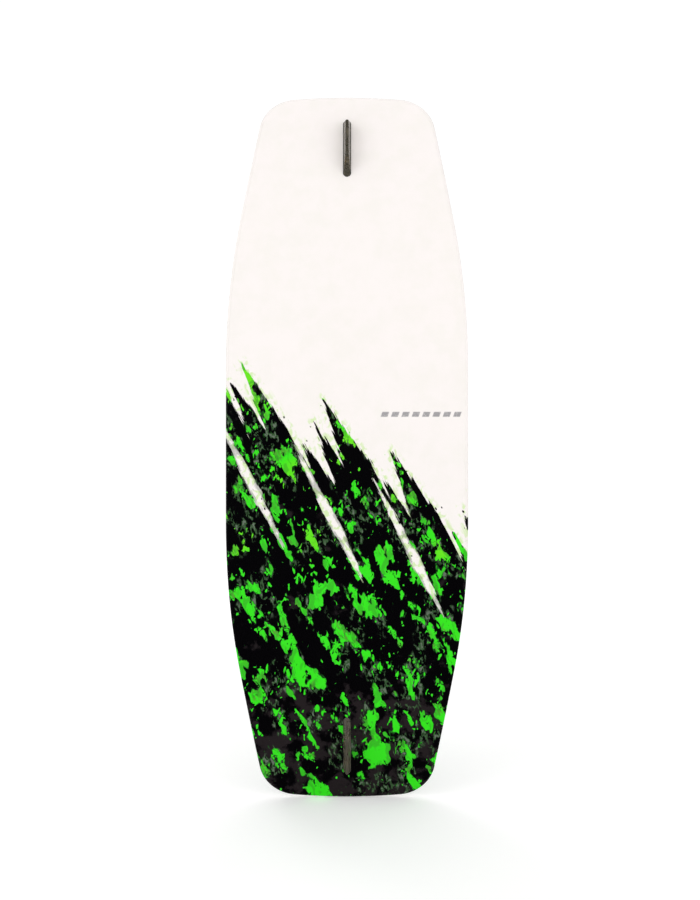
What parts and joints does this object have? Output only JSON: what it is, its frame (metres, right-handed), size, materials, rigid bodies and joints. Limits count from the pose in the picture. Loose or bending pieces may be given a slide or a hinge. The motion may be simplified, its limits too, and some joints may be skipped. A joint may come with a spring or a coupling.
{
  "type": "wakeboard",
  "caption": "Twin-tip wakeboard with rocker, a laminated foam core, a sidewall rail, threaded binding inserts in the deck and a bolted centre fin under each tip.",
  "frame": {"origin": "centre of the stance pattern: mid-length and mid-width, midway between the two feet's inserts, 2.5 mm under the deck in a plane that every insert's bore crosses", "axes": "+Z along the board to the nose, +Y out of the deck, -Y out of the base, +X across the board to the heel side of a rider whose left foot is at the nose"},
  "size_m": [0.446, 0.0739, 1.34],
  "materials": {
    "base_print": "warm white gloss sheet with a printed black and green brushed graphic",
    "deck_print": "satin sheet, fine grained, printed in the same colours",
    "glass_laminate": "glass cloth in cured resin",
    "core_foam": "cut closed-cell foam",
    "rail_plastic": "white moulded sidewall, lightly scuffed",
    "block_plastic": "machined high-density plastic",
    "stainless_steel": "turned stainless steel",
    "fin_plastic": "smoky grey-brown moulded plastic",
    "gasket_rubber": "die-cut rubber",
    "nut_brass": "knurled brass",
    "sleeve_aluminium": "cut tube"
  },
  "bodies": {
    "root": {"base_sheet": "base_print", "bottom_laminate": "glass_laminate", "foam_core": "core_foam", "top_laminate": "glass_laminate", "top_sheet": "deck_print", "sidewall_rail": "rail_plastic", "insert_block_nose_toeside": "block_plastic", "insert_block_nose_heelside": "block_plastic", "insert_block_tail_toeside": "block_plastic", "insert_block_tail_heelside": "block_plastic", "inserts_nose_toeside": "stainless_steel", "inserts_nose_heelside": "stainless_steel", "inserts_tail_toeside": "stainless_steel", "inserts_tail_heelside": "stainless_steel", "nose_fin": "fin_plastic", "nose_fin_gasket": "gasket_rubber", "nose_fin_nuts": "nut_brass", "nose_fin_screws": "stainless_steel", "nose_fin_washers": "stainless_steel", "nose_fin_sleeves": "sleeve_aluminium", "tail_fin": "fin_plastic", "tail_fin_gasket": "gasket_rubber", "tail_fin_nuts": "nut_brass", "tail_fin_screws": "stainless_steel", "tail_fin_washers": "stainless_steel", "tail_fin_sleeves": "sleeve_aluminium"}
  },
  "joints": []
}
